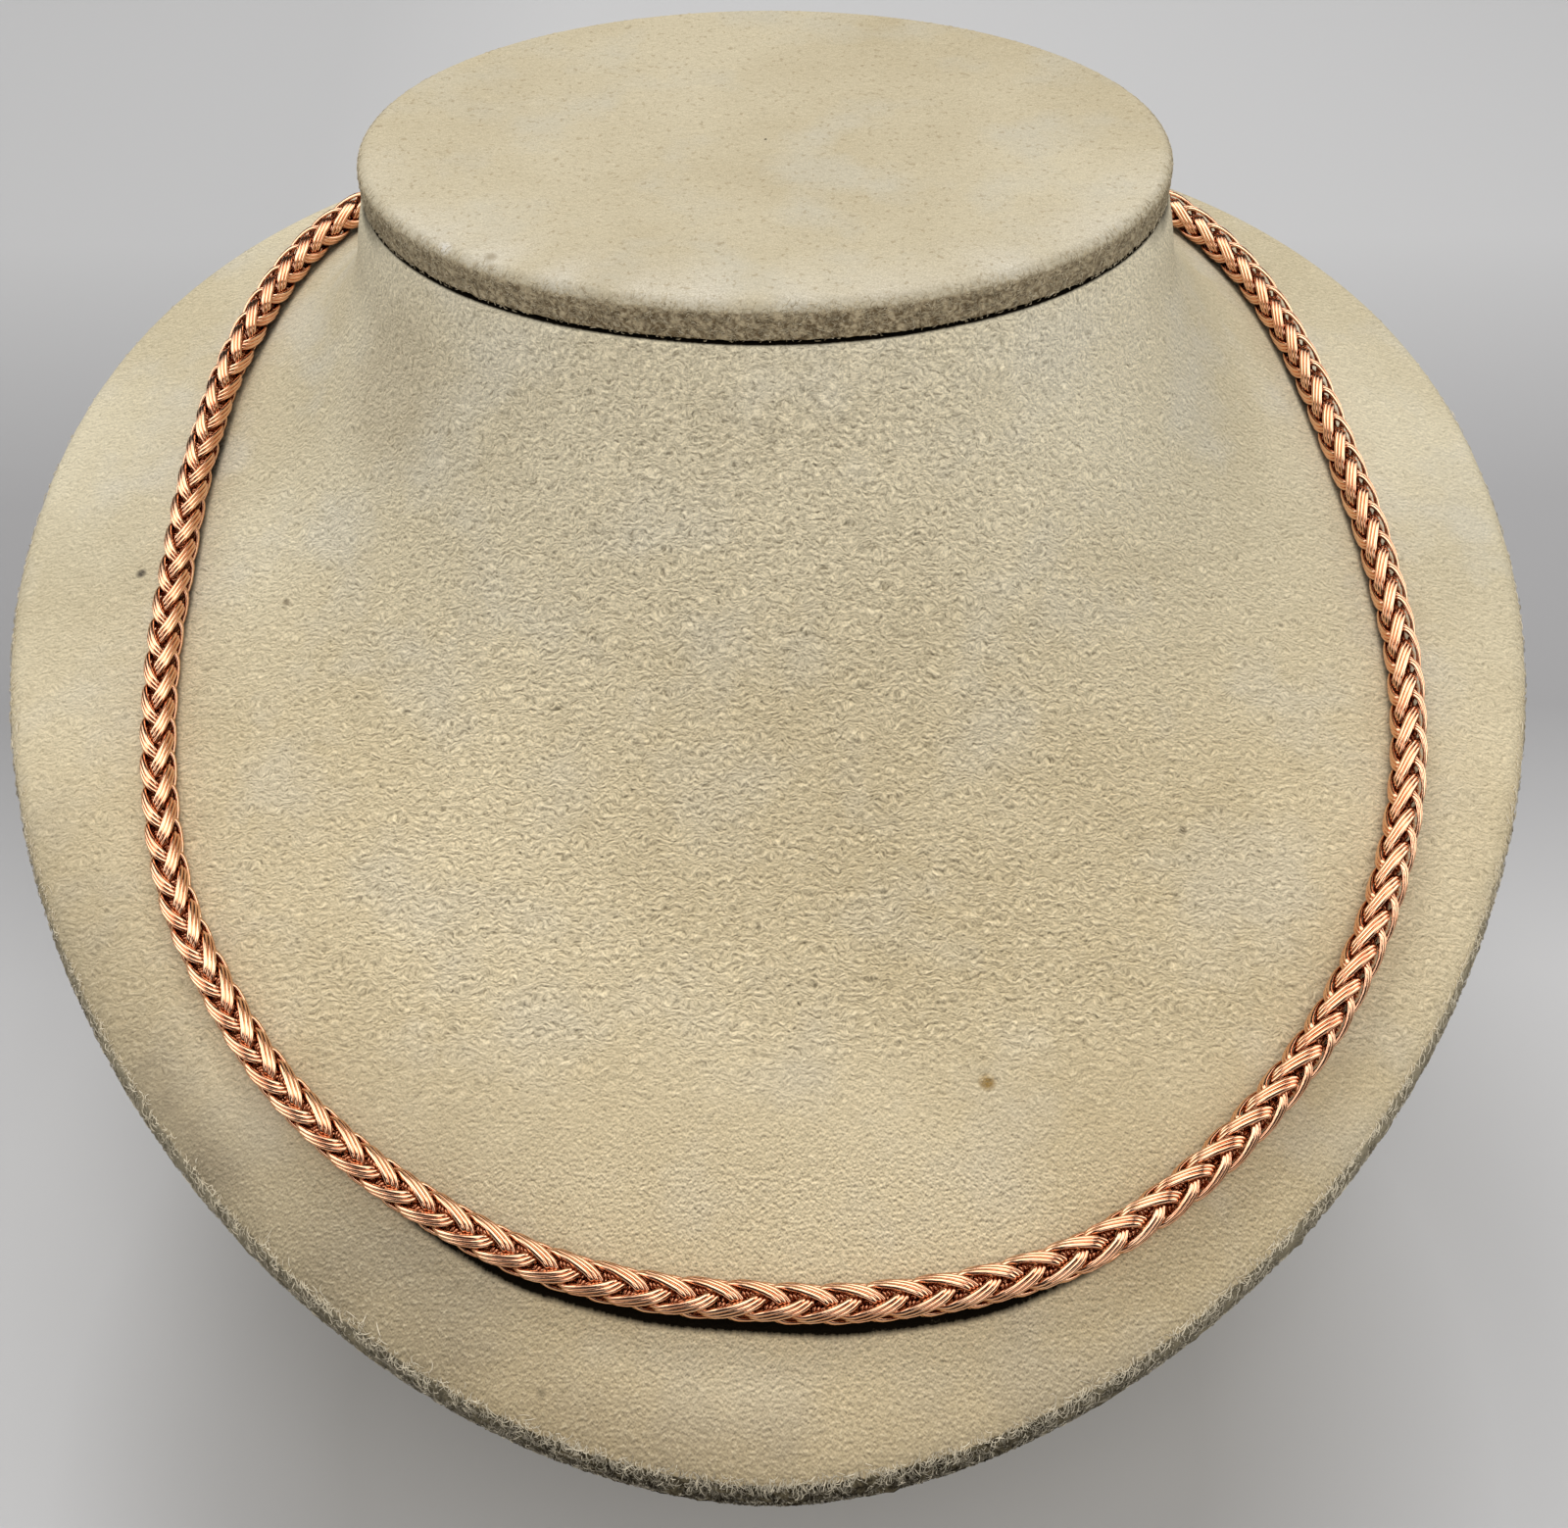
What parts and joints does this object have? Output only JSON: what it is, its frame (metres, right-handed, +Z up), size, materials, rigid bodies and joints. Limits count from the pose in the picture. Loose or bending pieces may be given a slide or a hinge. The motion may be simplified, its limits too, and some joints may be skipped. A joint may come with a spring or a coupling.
{
  "type": "wheat chain on neck bust",
  "caption": "Round wheat chain necklace in rose-coloured metal, laid round a low padded neck bust with a flat oval top and a plain stand.",
  "frame": {"origin": "middle of the base of the object's box, on the surface that the stand rests on", "axes": "+Z up, -Y to the front tip of the form, +X to the right as seen from the front"},
  "size_m": [0.185, 0.189, 0.1217],
  "materials": {
    "stand_cloth": "matt short nap",
    "form_suede": "matt short nap with rubbed and stained places",
    "cap_suede": "matt short nap with a rough cut edge",
    "rose_metal": "polished rose-coloured plating",
    "clasp_metal": "polished rose-coloured plating"
  },
  "bodies": {
    "root": {"stand": "stand_cloth", "neck_form": "form_suede", "neck_cap": "cap_suede", "chain": "rose_metal", "clasp": "clasp_metal"}
  },
  "joints": []
}
